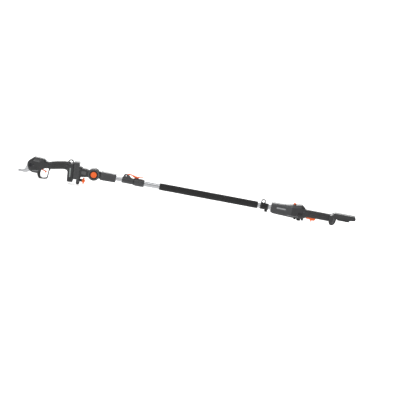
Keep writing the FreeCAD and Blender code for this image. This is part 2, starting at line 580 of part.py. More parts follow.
def build_sleeve():
    sleeve = housing(SLEEVE_STATIONS).cut(rod(INNER_TUBE_R + TIGHT, (440, 0, 0), (530, 0, 0)))
    parts["coupling_sleeve"] = sleeve.cut([side_screw_hole(x, 0, SLEEVE_SURFACE, 8.5) for x in SLEEVE_SCREWS])
    parts["sleeve_screws"] = Part.makeCompound([side_screw(x, 0, SLEEVE_SURFACE, 7.2) for x in SLEEVE_SCREWS])


# ---- pole -------------------------------------------------------------------------------------------------------

def build_tubes():
    parts["inner_tube"] = pipe(INNER_TUBE_R, INNER_TUBE_R - INNER_TUBE_WALL,
                               (INNER_TUBE_X[0], 0, 0), (INNER_TUBE_X[1], 0, 0))
    bush_r = OUTER_TUBE_R - OUTER_TUBE_WALL - TIGHT
    bush = pipe(bush_r, INNER_TUBE_R, (INNER_TUBE_X[1] - GUIDE_BUSH_LENGTH, 0, 0), (INNER_TUBE_X[1], 0, 0))
    parts["inner_guide_bush"] = bush
    parts["outer_tube"] = pipe(OUTER_TUBE_R, OUTER_TUBE_R - OUTER_TUBE_WALL,
                               (OUTER_TUBE_X[0], 0, 0), (OUTER_TUBE_X[1], 0, 0))
    foam = rod(FOAM_R, (FOAM_X[0], 0, 0), (FOAM_X[1], 0, 0))
    foam = foam.makeFillet(FOAM_END_ROUND, [e for e in foam.Edges if e.Length > 100 and e.BoundBox.XLength < 1])
    parts["foam_grip"] = foam.cut(rod(OUTER_TUBE_R, (FOAM_X[0] - 1, 0, 0), (FOAM_X[1] + 1, 0, 0)))


def build_clamp():
    bore = rod(INNER_TUBE_R + LOOSE, (CLAMP_X[0] - 1, 0, 0), (COLLAR_X[1], 0, 0))
    barrel = rod(CLAMP_R, (CLAMP_X[0], 0, 0), (CLAMP_X[1], 0, 0))
    ears = profile(CLAMP_EARS, (-EAR_HALF_WIDTH, EAR_HALF_WIDTH))
    cam_slot = block((566, 612), (-CAM_SLOT_HALF_WIDTH, CAM_SLOT_HALF_WIDTH), (11.0, 40))
    pin_hole = cross_rod(LEVER_PIN_R + 0.02, LEVER_PIN, (-12, 12))
    parts["clamp_body"] = join([barrel, ears]).cut([bore, cam_slot, pin_hole])
    shoe = block((568, 588), (-CAM_SLOT_HALF_WIDTH + TIGHT, CAM_SLOT_HALF_WIDTH - TIGHT), (11.5, 18.4))
    parts["clamp_shoe"] = shoe.cut(bore)
    collar = rod(COLLAR_R, (COLLAR_X[0], 0, 0), (COLLAR_X[1], 0, 0))
    collar = collar.makeFillet(2.5, [e for e in collar.Edges if e.BoundBox.XLength < 1])
    tube_seat = rod(OUTER_TUBE_R + TIGHT, (OUTER_TUBE_X[0], 0, 0), (COLLAR_X[1] + 1, 0, 0))
    parts["clamp_collar"] = collar.cut([bore, tube_seat])
    cam = cross_rod(CAM_R, (LEVER_PIN[0], LEVER_PIN[1] - CAM_OFFSET), (-3.7, 3.7))
    arm = profile(LEVER_ARM, (-3.7, 3.7))
    paddle = profile(LEVER_ARM, (-9.0, 9.0)).common(block(PADDLE_X, (-9.0, 9.0), (0, BIG)))
    parts["clamp_lever"] = join([cam, arm, paddle]).cut(cross_rod(LEVER_PIN_R + TIGHT, LEVER_PIN, (-5, 5)))
    parts["lever_pin"] = cross_rod(LEVER_PIN_R, LEVER_PIN, (-EAR_HALF_WIDTH - 1, EAR_HALF_WIDTH + 1))


def build_harness():
    eye_x, eye_z = HARNESS_EYE
    collar = rod(HARNESS_R, (HARNESS_X[0], 0, 0), (HARNESS_X[1], 0, 0))
    collar = collar.makeFillet(1.0, [e for e in collar.Edges if e.BoundBox.XLength < 1])
    screw_hole = rod(3.0 + TIGHT, (HARNESS_SCREW_X, 0, -30), (HARNESS_SCREW_X, 0, 0))
    parts["harness_collar"] = collar.cut([
        rod(OUTER_TUBE_R + LOOSE, (HARNESS_X[0] - 1, 0, 0), (HARNESS_X[1] + 1, 0, 0)), screw_hole])
    eye = join([cross_rod(12.0, HARNESS_EYE, (-4, 4)), block((eye_x - 12, eye_x + 12), (-4, 4), (14, eye_z))])
    parts["harness_eye"] = eye.cut([
        cross_rod(HARNESS_EYE_R, HARNESS_EYE, (-6, 6)),
        rod(HARNESS_R, (HARNESS_X[0] - 1, 0, 0), (HARNESS_X[1] + 1, 0, 0)),
    ])
    knob = rod(8.0, (HARNESS_SCREW_X, 0, -HARNESS_R - 10.5), (HARNESS_SCREW_X, 0, -HARNESS_R - 1.0))
    flutes = []
    for i in range(8):
        angle = math.radians(45 * i)
        x, y = HARNESS_SCREW_X + 9.2 * math.cos(angle), 9.2 * math.sin(angle)
        flutes.append(rod(2.2, (x, y, -40), (x, y, -HARNESS_R)))
    shank = rod(3.0, (HARNESS_SCREW_X, 0, -HARNESS_R - 2), (HARNESS_SCREW_X, 0, -OUTER_TUBE_R - 0.4))
    parts["harness_screw"] = knob.cut(flutes).fuse(shank)


# ---- rear control unit ------------------------------------------------------------------------------------------

def bay_end():
    """The wall and roof that a battery slides against, with their long edges cut off."""
    body = profile(BAY, (-BAY_HALF_WIDTH, BAY_HALF_WIDTH))
    cuts = []
    for side in (-1, 1):
        edge = [(side * BAY_HALF_WIDTH, 22), (side * (BAY_HALF_WIDTH + 5), 22), (side * (BAY_HALF_WIDTH + 5), 40),
                (side * 15, 40), (side * 19, 35.2)]
        low = [(side * BAY_HALF_WIDTH, -12), (side * (BAY_HALF_WIDTH + 5), -12), (side * (BAY_HALF_WIDTH + 5), -40),
               (side * 15, -40), (side * 18, -32)]
        for points in (edge, low):
            ring = [V(1600, y, z) for y, z in points]
            cuts.append(Part.Face(Part.makePolygon(ring + ring[:1])).extrude(V(300, 0, 0)))
    shoulder = plate(((1660, -60), (1672.9, -60), (1672.9, 60), (1660, 60)), (-60, 60))
    return body.cut(cuts + [shoulder])


def build_rear_shells():
    outside = join([housing(REAR_STATIONS), grip(REAR_GRIP_STATIONS), bay_end()])
    skin_stretch = (1560, 1666)
    grip_skin = between(grip(REAR_GRIP_STATIONS), skin_stretch)
    grip_core = between(grip(REAR_GRIP_STATIONS, SKIN), skin_stretch)
    ring = grip_skin.cut(grip_core)
    trigger_slot = block((1549.5, 1607), (-8.0, 8.0), (-24, 0))
    trunnion_hole = cross_rod(TRUNNION_R + TIGHT, REAR_TRIGGER_PIVOT, (-13, 13))
    parts["rear_grip_sleeve"] = ring.cut([trigger_slot, trunnion_hole])
    front_room = between(housing(REAR_STATIONS, SHELL_WALL), (1360 + SHELL_WALL, 1552))
    grip_room = between(grip(REAR_GRIP_STATIONS, SHELL_WALL + SKIN), (1548, 1676))
    wall_room = block((1680, 1704), (-16, 16), (-20, 16))
    roof_room = block((1700, 1802), (-22, 22), (17, 31))
    bosses = [rod(SCREW_HEAD_R + 1.6, (x, -BIG, z), (x, BIG, z)) for x, z, _ in REAR_SCREWS]
    room = front_room.fuse([grip_room, wall_room, roof_room]).cut(
        bosses + [block((1380, 1384), (-BIG, BIG), (-BIG, BIG)), block((1432, 1436), (-BIG, BIG), (-BIG, BIG))])
    button_slot = block((LOCK_BUTTON_X[0] - LOOSE, LOCK_BUTTON_X[1] + LOOSE), (-6.0 - LOOSE, 6.0 + LOOSE), (30, 60))
    body = outside.cut([
        room, ring, trigger_slot, trunnion_hole, button_slot,
        rod(OUTER_TUBE_R + TIGHT, (1350, 0, 0), (OUTER_TUBE_X[1] + 1, 0, 0)),
    ] + [side_screw_hole(*screw) for screw in REAR_SCREWS])
    parts["rear_shell_left"] = left_half(body)
    parts["rear_shell_right"] = right_half(body)
    parts["rear_shell_screws"] = Part.makeCompound([side_screw(*screw) for screw in REAR_SCREWS])
    pads = []
    for x, depth in (((1487, 1500), -37.5), ((1504, 1524), -41.0), ((1528, 1539), -37.0)):
        pads.append(block(x, (-17, 17), (depth, -20)).cut(outside))
    parts["rest_pads"] = Part.makeCompound([pad.Solids[0] for pad in pads])


def build_rear_controls():
    trunnion = cross_rod(TRUNNION_R, REAR_TRIGGER_PIVOT, (-12, 12))
    parts["rear_trigger"] = join([profile(REAR_TRIGGER, (-7.2, 7.2)), trunnion])
    parts["rear_trigger_spring"] = coil(3.0, 0.5, 5, (1588, 0, -8.2), (0, 0, 1), 15.0)
    parts["rear_switch"] = block((1606, 1630), (-7, 7), (-4, 9))
    head = block(LOCK_BUTTON_X, (-6.0, 6.0), (33.0, LOCK_BUTTON_TOP))
    head = head.makeFillet(2.0, [e for e in head.Edges if e.BoundBox.ZMin > LOCK_BUTTON_TOP - 0.1])
    flange = block((LOCK_BUTTON_X[0] - 3, LOCK_BUTTON_X[1] + 3), (-8.0, 8.0), (31.0, 34.0))
    parts["lock_button"] = join([head, flange])
    button_middle = (LOCK_BUTTON_X[0] + LOCK_BUTTON_X[1]) / 2
    parts["lock_button_spring"] = coil(3.6, 0.5, 5, (button_middle, 0, 18.9), (0, 0, 1), 12.0)
    parts["rear_control_board"] = block((1450, 1494), (-15, 15), (12, 14))
    rails = []
    for side in (-1, 1):
        web = block((1716, 1779), sorted((side * 22, side * 26)), (2.0, 9.0))
        lip = block((1716, 1779), sorted((side * 18, side * 26)), (2.0, 4.5))
        rails.append(web.fuse(lip))
    parts["battery_rails"] = Part.makeCompound(rails)
    body = block((1712, 1738), (-10, 10), (3.0, 9.0))
    slots = [block((1715, 1740), (y - 0.6, y + 0.6), (2, 7)) for y in (-6, -2, 2, 6)]
    parts["battery_contacts"] = body.cut(slots)


# ---- build and export -------------------------------------------------------------------------------------------

def main():
    build_pruner_shells()
    pin_x = build_blades()
    build_drive(pin_x)
    build_pruner_controls()
    build_rails()
    build_adapter()
    build_angle_joint()
    build_sleeve()
    build_tubes()
    build_clamp()
    build_harness()
    build_rear_shells()
    build_rear_controls()
    os.makedirs("parts", exist_ok=True)
    shift = V(-LENGTH / 2, 0, -LOWEST)
    for node, shape in parts.items():
        placed = Part.makeCompound(shape.Solids) if len(shape.Solids) > 1 else shape.Solids[0]
        placed = placed.translated(shift)
        placed.exportStep("parts/" + node + ".step")
        print(node, len(shape.Solids), shape.isValid(), round(shape.Volume))
    print("nodes", len(parts), "drive pin x", pin_x)


main()
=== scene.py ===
import math

import bmesh
import bpy
from mathutils import Matrix, Vector, noise
from mathutils.bvhtree import BVHTree


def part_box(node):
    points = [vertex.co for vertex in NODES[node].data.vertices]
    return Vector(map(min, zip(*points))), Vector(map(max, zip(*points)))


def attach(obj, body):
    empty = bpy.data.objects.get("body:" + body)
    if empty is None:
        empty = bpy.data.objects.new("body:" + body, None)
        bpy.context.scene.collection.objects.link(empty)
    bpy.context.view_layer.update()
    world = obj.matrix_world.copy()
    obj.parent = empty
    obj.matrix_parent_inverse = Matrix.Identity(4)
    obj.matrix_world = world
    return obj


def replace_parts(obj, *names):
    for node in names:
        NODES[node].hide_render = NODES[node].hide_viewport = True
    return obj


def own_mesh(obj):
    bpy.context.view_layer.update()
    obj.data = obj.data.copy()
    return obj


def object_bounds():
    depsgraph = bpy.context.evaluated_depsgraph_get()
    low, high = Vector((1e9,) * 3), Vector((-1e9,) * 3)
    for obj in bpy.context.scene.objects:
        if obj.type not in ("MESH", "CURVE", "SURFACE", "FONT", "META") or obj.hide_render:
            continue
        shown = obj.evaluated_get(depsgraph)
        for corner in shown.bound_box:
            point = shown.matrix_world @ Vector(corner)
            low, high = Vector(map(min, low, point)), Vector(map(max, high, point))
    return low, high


# A telescopic pole pruner: battery secateurs on a rail adapter, an angle joint, a two-stage pole with a cam
# clamp, and a rear control grip with an empty battery bay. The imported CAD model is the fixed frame. This script
# adds the finish: materials, softened edges, textured grips, wound springs and small mouldings on the surfaces.

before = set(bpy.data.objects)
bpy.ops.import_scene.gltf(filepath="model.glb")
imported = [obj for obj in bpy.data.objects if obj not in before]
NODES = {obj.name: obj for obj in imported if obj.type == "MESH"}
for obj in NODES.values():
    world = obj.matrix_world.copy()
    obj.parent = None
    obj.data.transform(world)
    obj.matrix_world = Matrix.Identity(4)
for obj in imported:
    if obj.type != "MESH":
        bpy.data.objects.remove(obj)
cad_low, cad_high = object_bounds()

MM = 0.001

# The pole frame: stations in millimetres from the blade tip along the pole, heights from the pole's axis. The
# angle joint turns about station HUB_X, the pruner's rails lean by RAIL_LEAN degrees, and FAR_OUT is clear of
# every part.
POLE_LOW, POLE_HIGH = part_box("outer_tube")
POLE_Z = (POLE_LOW.z + POLE_HIGH.z) / 2
TIP_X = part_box("cutting_blade")[0].x
HUB_X = 407.0
RAIL_LEAN = 5.0
FAR_OUT = 90.0

ALONG = (1.0, 0.0, 0.0)
NEAR_SIDE = (0.0, -1.0, 0.0)
FAR_SIDE = (0.0, 1.0, 0.0)
UP = (0.0, 0.0, 1.0)

# Meshing
WELD = 0.001 * MM
CREASE = math.radians(38.0)

# Colours
CHARCOAL = (0.0215, 0.0218, 0.0230, 1.0)
LIGHTER_CHARCOAL = (0.041, 0.0415, 0.0435, 1.0)
PANEL_GREY = (0.058, 0.059, 0.062, 1.0)
# Painted highlight colour for the lit facets on the head and neck.
FACET_HIGHLIGHT_GREY = (0.078, 0.079, 0.081, 1.0)
PLATE_GREY = (0.26, 0.265, 0.275, 1.0)
BLACK = (0.003, 0.003, 0.0032, 1.0)
OVERMOULD_BLACK = (0.012, 0.012, 0.0125, 1.0)
FOOT_BLACK = (0.006, 0.006, 0.006, 1.0)
FOAM_BLACK = (0.008, 0.008, 0.0083, 1.0)
# Edge colours: the lighter edges are partly wear and partly a painted highlight along every sharp edge.
WORN_AND_HIGHLIGHT_GREY = (0.24, 0.24, 0.245, 1.0)
WORN_AND_HIGHLIGHT_BLACK = (0.06, 0.06, 0.065, 1.0)
WORN_AND_HIGHLIGHT_PLATE = (0.5, 0.5, 0.52, 1.0)
ORANGE = (0.80, 0.128, 0.018, 1.0)
# Painted shade on the lower side of the clamp lever.
SHADED_UNDERSIDE_ORANGE = (0.30, 0.022, 0.006, 1.0)
WORN_AND_HIGHLIGHT_ORANGE = (0.85, 0.24, 0.08, 1.0)
ALUMINIUM = (0.40, 0.405, 0.415, 1.0)
STEEL = (0.40, 0.41, 0.43, 1.0)
GROUND_STEEL = (0.42, 0.425, 0.435, 1.0)
DARK_STEEL = (0.07, 0.07, 0.075, 1.0)
BLACKENED_STEEL = (0.03, 0.03, 0.033, 1.0)
POLISHED_STEEL = (0.72, 0.73, 0.75, 1.0)
GILT = (0.70, 0.48, 0.18, 1.0)
LENS_GREEN = (0.08, 0.30, 0.10, 1.0)
WORN_AND_HIGHLIGHT_LENS = (0.4, 0.6, 0.4, 1.0)
BOARD_GREEN = (0.012, 0.09, 0.035, 1.0)
TRACK_GREEN = (0.03, 0.16, 0.07, 1.0)
WHITE = (1.0, 1.0, 1.0, 1.0)

# Springs: node, body, joint, foot, axis, coil radius, wire radius, length, the place along it that stays still as
# a share of its length, and the share of its length that is left at the joint's limit.
SPRING_TURNS = 5
TURN_STEPS = 24
SPRINGS = (
    ("angle_button_spring", "front_pole", "angle_button_push",
     (HUB_X, 3.0, 0.0), FAR_SIDE, 6.8, 0.7, 12.0, 1.0, 0.48),
    ("lock_button_spring", "rear_pole", "lock_button_push",
     (1482.0, 0.0, 18.9), UP, 3.6, 0.5, 12.0, 0.0, 0.69),
    ("rear_trigger_spring", "rear_pole", "rear_trigger_pull",
     (1588.0, 0.0, -8.2), UP, 3.0, 0.5, 15.0, 1.0, 0.73),
    ("pruner_trigger_spring", "pruner", "pruner_trigger_pull",
     (140.5, 0.0, -22.9), UP, 2.2, 0.4, 11.0, 1.0, 0.76),
)

# Light: suns are name, strength, spread, tilt and turn, with angles in degrees.
SUNS = (("key", 1.0, 35.0, 30.0, -30.0), ("back", 1.6, 40.0, -62.0, 12.0))
ROOM_LIGHT = 0.66
FLOOR_GLOW = 0.48

# Camera, at the angle and framing of a long lens a little above the tool
VIEW_ELEVATION = math.radians(12.0)
VIEW_ROLL = math.radians(10.63)
VIEW_SHIFT = Vector((0.078, 0.0, -0.0225))
VIEW_DISTANCE = 12.0
VIEW_WIDTH = 2.12
SENSOR = 36.0


# ---- places ----------------------------------------------------------------------------------------------

def spot(x, y, z):
    """A point of the pole frame, in metres of the row frame."""
    return Vector((TIP_X + x * MM, y * MM, POLE_Z + z * MM))


def station(x):
    """A row-frame x as a station of the pole frame."""
    return (x - TIP_X) / MM


def stations_of(node):
    low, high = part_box(node)
    return station(low.x), station(high.x)


def surface_of(*nodes):
    """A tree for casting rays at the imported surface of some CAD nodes."""
    points, faces = [], []
    for name in nodes:
        mesh = NODES[name].data
        first = len(points)
        points += [v.co.copy() for v in mesh.vertices]
        faces += [tuple(first + i for i in p.vertices) for p in mesh.polygons]
    return BVHTree.FromPolygons(points, faces)


# ---- materials -------------------------------------------------------------------------------------------

class Finish:
    """A material made of nodes. A plain number goes on a socket, and a socket that is given is linked."""

    def __init__(self, name):
        self.material = bpy.data.materials.new(name)
        self.material.use_nodes = True
        self.tree = self.material.node_tree
        self.shader = self.tree.nodes["Principled BSDF"]
        self.place = self.add("TexCoord").outputs["Object"]

    def add(self, kind, settings=None, **inputs):
        made = self.tree.nodes.new("ShaderNode" + kind)
        for key, value in (settings or {}).items():
            setattr(made, key, value)
        for key, value in inputs.items():
            self.feed(made.inputs[key.replace("_", " ")], value)
        return made

    def feed(self, socket, value):
        if isinstance(value, bpy.types.NodeSocket):
            self.tree.links.new(value, socket)
        else:
            socket.default_value = value

    def stretched(self, x, y, z):
        """The object's own coordinates, scaled along each axis."""
        return self.add("Mapping", Vector=self.place, Scale=(x, y, z)).outputs["Vector"]

    def noise(self, scale, detail=2.0, place=None):
        found = self.add("TexNoise", Vector=place or self.place, Scale=scale, Detail=detail)
        return found.outputs["Fac"]

    def cells(self, scale, place=None):
        found = self.add("TexVoronoi", Vector=place or self.place, Scale=scale)
        return found.outputs["Distance"]

    def span(self, value, low, high, to_low, to_high):
        found = self.add("MapRange", Value=value)
        for key, number in (("From Min", low), ("From Max", high), ("To Min", to_low), ("To Max", to_high)):
            found.inputs[key].default_value = number
        return found.outputs["Result"]

    def times(self, first, second):
        found = self.add("Math", {"operation": "MULTIPLY"})
        self.feed(found.inputs[0], first)
        self.feed(found.inputs[1], second)
        return found.outputs["Value"]

    def blend(self, share, first, second):
        found = self.add("Mix", {"data_type": "RGBA"})
        self.feed(found.inputs[0], share)
        self.feed(found.inputs[6], first)
        self.feed(found.inputs[7], second)
        return found.outputs[2]

    def rounded_normal(self, radius):
        return self.add("Bevel", {"samples": 6}, Radius=radius).outputs["Normal"]

    def along(self, axis, low, high):
        """0 before and 1 after a place along one axis of the object's own coordinates."""
        parts = self.add("SeparateXYZ", Vector=self.place)
        return self.span(parts.outputs[axis], low, high, 0.0, 1.0)

    def edges(self, rounded):
        """1 along sharp edges and 0 on flat faces."""
        plain = self.add("NewGeometry").outputs["Normal"]
        found = self.add("VectorMath", {"operation": "DOT_PRODUCT"})
        self.feed(found.inputs[0], plain)
        self.feed(found.inputs[1], rounded)
        return self.span(found.outputs["Value"], 0.995, 0.86, 0.0, 1.0)

    def bump(self, height, distance, normal=None, strength=1.0):
        found = self.add("Bump", Height=height, Distance=distance, Strength=strength)
        if normal is not None:
            self.feed(found.inputs["Normal"], normal)
        return found.outputs["Normal"]

    def finish(self, colour, roughness, normal, **plain):
        self.feed(self.shader.inputs["Base Color"], colour)
        self.feed(self.shader.inputs["Roughness"], roughness)
        self.feed(self.shader.inputs["Normal"], normal)
        for key, value in plain.items():
            self.shader.inputs[key.replace("_", " ")].default_value = value
        return self.material


def scaled(colour, factor):
    return tuple(c * factor for c in colour[:3]) + (1.0,)


def moulded(
        name, colour, roughness, grain=0.45, depth=0.012, wear_and_highlight_colour=WORN_AND_HIGHLIGHT_GREY, wear_and_highlight=0.75, rounding=0.7, second=None):
    """Moulded plastic: spark-eroded grain, slow shade changes, polished patches, and lighter edges that are
    partly wear and partly a painted highlight.
    A two-colour moulding has a second (colour, axis, low, high), which takes over from low to high. The lever
    uses this for a painted shade: darker orange below, plain orange above."""
    f = Finish(name)
    rounded = f.rounded_normal(rounding * MM)
    shade = f.span(f.noise(22.0, 3.0), 0.3, 0.7, 0.0, 1.0)
    base = f.blend(shade, scaled(colour, 0.88), scaled(colour, 1.14))
    if second is not None:
        other, axis, low, high = second
        second_base = f.blend(shade, scaled(other, 0.88), scaled(other, 1.14))
        base = f.blend(f.along(axis, low, high), base, second_base)
    scuffs = f.span(f.noise(160.0, 4.0), 0.42, 0.66, 0.15, 1.0)
    # Lighter edges, partly wear and partly a painted highlight along every sharp edge.
    edge = f.times(f.times(f.edges(rounded), scuffs), wear_and_highlight)
    rub = f.span(f.noise(55.0, 4.0), 0.3, 0.7, roughness - 0.07, roughness + 0.08)
    grained = f.bump(f.noise(1.0 / (grain * MM), 2.0), depth * MM, rounded, 0.6)
    return f.finish(f.blend(edge, base, wear_and_highlight_colour), rub, grained, Specular_IOR_Level=0.32)


def rubber(name, colour, roughness=0.72, pebble=0.8, depth=0.03):
    """Soft overmould: matt, with a fine pebbled skin and slightly shiny high spots."""
    f = Finish(name)
    shade = f.span(f.noise(35.0, 3.0), 0.3, 0.7, 0.0, 1.0)
    base = f.blend(shade, scaled(colour, 0.85), scaled(colour, 1.2))
    cells = f.cells(1.0 / (pebble * MM))
    gloss = f.span(cells, 0.0, 0.7, roughness - 0.12, roughness + 0.1)
    return f.finish(base, gloss, f.bump(cells, depth * MM, f.rounded_normal(0.5 * MM)), Sheen_Weight=0.04)


def foam(name, colour):
    """Closed-cell foam: open pores with painted shade in them, crushed streaks along the pole and no shine."""
    f = Finish(name)
    pores = f.cells(900.0)
    lumps = f.noise(120.0, 3.0)
    streaks = f.noise(1.0, 3.0, f.stretched(9.0, 240.0, 240.0))
    shade = f.span(streaks, 0.35, 0.65, 0.0, 1.0)
    # Painted shade: each pore is darker in its pit.
    painted_pore_shade = f.span(pores, 0.05, 0.35, 0.6, 1.0)
    base = f.blend(shade, scaled(colour, 0.85), scaled(colour, 1.25))
    pored = f.blend(painted_pore_shade, scaled(colour, 0.45), base)
    rough = f.span(lumps, 0.3, 0.7, 0.82, 0.95)
    coarse = f.bump(lumps, 0.12 * MM)
    return f.finish(pored, rough, f.bump(pores, 0.10 * MM, coarse), Sheen_Weight=0.06)


def drawn_metal(
        name, colour, roughness, lines=(4.0, 1500.0, 1500.0), depth=0.004, smears=0.06, tarnish=0.35):
    """Metal with fine lines along one axis, handling smears and slightly darker patches."""
    f = Finish(name)
    grain = f.noise(1.0, 4.0, f.stretched(*lines))
    patches = f.noise(28.0, 4.0)
    base = f.blend(f.span(grain, 0.3, 0.7, 0.0, 1.0), scaled(colour, 0.9), scaled(colour, 1.06))
    tarnished = f.blend(f.span(patches, 0.5, 0.75, 0.0, tarnish), base, scaled(colour, 0.72))
    rough = f.span(f.noise(70.0, 4.0), 0.3, 0.7, roughness - smears, roughness + smears)
    lined = f.bump(grain, depth * MM, f.rounded_normal(0.3 * MM), 0.7)
    return f.finish(tarnished, rough, lined, Metallic=1.0)


def circuit(name):
    """Green board with faint copper tracks."""
    f = Finish(name)
    tracks = f.add("TexBrick", Vector=f.place, Scale=220.0)
    base = f.blend(tracks.outputs["Fac"], BOARD_GREEN, TRACK_GREEN)
    rough = f.span(f.noise(300.0), 0.3, 0.7, 0.35, 0.5)
    return f.finish(base, rough, f.bump(tracks.outputs["Fac"], 0.04 * MM))


HOUSING = moulded("charcoal_housing", CHARCOAL, 0.36)
REAR_HOUSING = moulded(
    "two_tone_housing", LIGHTER_CHARCOAL, 0.36,
    second=(CHARCOAL, "X", spot(1471.5, 0.0, 0.0).x, spot(1472.0, 0.0, 0.0).x))
POLE_FITTING = moulded("grey_fitting", LIGHTER_CHARCOAL, 0.36)
ADAPTER_SHELL = moulded(
    "two_tone_adapter", LIGHTER_CHARCOAL, 0.36,
    second=(CHARCOAL, "X", spot(332.0, 0.0, 0.0).x, spot(334.0, 0.0, 0.0).x))
FACET_HIGHLIGHT = moulded("painted_facet_highlight", FACET_HIGHLIGHT_GREY, 0.42, grain=0.7, depth=0.02)
PANEL = moulded("grey_panel", PANEL_GREY, 0.42, grain=0.7, depth=0.02)
TRIM = moulded("black_trim", BLACK, 0.48, wear_and_highlight_colour=WORN_AND_HIGHLIGHT_BLACK)
CONTROL = moulded("orange_control", ORANGE, 0.38, wear_and_highlight_colour=WORN_AND_HIGHLIGHT_ORANGE, wear_and_highlight=0.4)
# The lever's lower part is a painted shade: darker orange below, the plain orange above.
SHADED_LEVER = moulded(
    "lever_with_painted_shade", SHADED_UNDERSIDE_ORANGE, 0.40, wear_and_highlight_colour=WORN_AND_HIGHLIGHT_ORANGE, wear_and_highlight=0.4,
    second=(ORANGE, "Z", spot(0.0, 0.0, 25.5).z, spot(0.0, 0.0, 26.5).z))
PLATE = moulded("light_plate", PLATE_GREY, 0.36, wear_and_highlight_colour=WORN_AND_HIGHLIGHT_PLATE)
GRIP = rubber("soft_overmould", OVERMOULD_BLACK, 0.55)
PAD = rubber("foot_rubber", FOOT_BLACK, 0.8, 1.2, 0.05)
FOAM = foam("closed_cell_foam", FOAM_BLACK)
TUBE = drawn_metal("anodised_tube", ALUMINIUM, 0.30, smears=0.03, tarnish=0.15)
BLADE = drawn_metal("ground_blade", GROUND_STEEL, 0.30, (900.0, 900.0, 90.0), 0.006)
FASTENER = drawn_metal("dark_fastener", DARK_STEEL, 0.34, (400.0, 400.0, 400.0), 0.006)
PIN = drawn_metal("polished_pin", POLISHED_STEEL, 0.18, (600.0, 8.0, 600.0), 0.003)
INSIDE = drawn_metal("turned_steel", STEEL, 0.34, (600.0, 12.0, 600.0), 0.006)
BLACKENED = drawn_metal("blackened_bolt", BLACKENED_STEEL, 0.30, (500.0, 500.0, 500.0), 0.006)
GOLD = drawn_metal("gilt_contact", GILT, 0.24, (300.0, 40.0, 300.0), 0.003)
LED = moulded("unlit_indicator", LENS_GREEN, 0.18, wear_and_highlight_colour=WORN_AND_HIGHLIGHT_LENS, wear_and_highlight=0.2)
BOARD = circuit("circuit_board_green")

SLOT_FINISH = {
    "dark_housing": HOUSING, "black_plastic": TRIM, "orange_plastic": CONTROL, "soft_grip": GRIP,
    "foam": FOAM, "pad_rubber": PAD, "pole_aluminium": TUBE, "blade_steel": BLADE,
    "fastener_steel": FASTENER, "bright_steel": PIN, "internal_metal": INSIDE, "circuit_board": BOARD,
    "indicator": PLATE,
}

OWN_FINISH = {
    "blade_pivot_bolt": BLACKENED, "clamp_lever": SHADED_LEVER,
    "rear_shell_left": REAR_HOUSING, "rear_shell_right": REAR_HOUSING,
    "adapter_back_shell": ADAPTER_SHELL, "adapter_front_plate": POLE_FITTING,
    "coupling_sleeve": POLE_FITTING, "clamp_body": POLE_FITTING, "clamp_collar": POLE_FITTING,
}


def finish_cad_nodes():
    """Each CAD node keeps its shape and takes the finish of its slot, or a finish of its own."""
    for node in NODES.values():
        for holder in node.material_slots:
            holder.material = SLOT_FINISH[holder.material.name]
    for name, finish in OWN_FINISH.items():
        for holder in NODES[name].material_slots:
            holder.material = finish


# ---- shapes ----------------------------------------------------------------------------------------------

def piece(name, shape, finish, body):
    """Makes a shape into a piece of the object that moves with a CAD body."""
    bmesh.ops.remove_doubles(shape, verts=shape.verts[:], dist=WELD)
    bmesh.ops.recalc_face_normals(shape, faces=shape.faces[:])
    for face in shape.faces:
        face.smooth = True
    for edge in shape.edges:
        edge.smooth = edge.calc_face_angle(0.0) < CREASE
    mesh = bpy.data.meshes.new(name)
    shape.to_mesh(mesh)
    shape.free()
    mesh.materials.append(finish)
    made = bpy.data.objects.new(name, mesh)
    bpy.context.scene.collection.objects.link(made)
    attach(made, body)
    return made


def skin(rings, looped=False, shape=None):
    """A surface through closed rings of points. Its ends are capped, or joined to each other when looped."""
    shape = shape or bmesh.new()
    rows = [[shape.verts.new(point) for point in ring] for ring in rings]
    pairs = list(zip(rows, rows[1:])) + ([(rows[-1], rows[0])] if looped else [])
    for near, far in pairs:
        for i in range(len(near)):
            shape.faces.new((near[i - 1], near[i], far[i], far[i - 1]))
    if not looped:
        shape.faces.new(rows[0])
        shape.faces.new(rows[-1])
    return shape


def turned(outline, centre, along, segments=96, change=None, shape=None):
    """A turned shape. The outline is a closed loop of (distance along the axis, radius) in millimetres."""
    middle, axis = spot(*centre), Vector(along)
    side = axis.orthogonal().normalized()
    other = axis.cross(side)
    rings = []
    for i in range(segments):
        angle = 2.0 * math.pi * i / segments
        out = math.cos(angle) * side + math.sin(angle) * other
        places = [change(d, r, angle) if change else (d, r) for d, r in outline]
        rings.append([middle + (d * axis + r * out) * MM for d, r in places])
    return skin(rings, True, shape)


def bar(centre, size, lean, cut, shape):
    """A small block with chamfered edges, turned about Y by lean degrees. Sizes in millimetres."""
    turn = Matrix.Rotation(math.radians(lean), 3, "Y")
    middle = spot(*centre)
    half = [length / 2.0 for length in size]
    rings = []
    for z, inset in (
            (-half[2], cut), (-half[2] + cut, 0.0), (half[2] - cut, 0.0), (half[2], cut)):
        x, y = half[0] - inset, half[1] - inset
        loop = [(x, y - cut), (x - cut, y), (cut - x, y), (-x, y - cut),
                (-x, cut - y), (cut - x, -y), (x - cut, -y), (x, cut - y)]
        rings.append([middle + turn @ Vector((a * MM, b * MM, z * MM)) for a, b in loop])
    return skin(rings, False, shape)


def outside_at(tree, x, z, side):
    """The outside of a symmetric housing, found on its plain +Y side and mirrored when side is -1."""
    hit = tree.ray_cast(spot(x, FAR_OUT, z), Vector(NEAR_SIDE))[0]
    return Vector((hit.x, side * hit.y, hit.z))


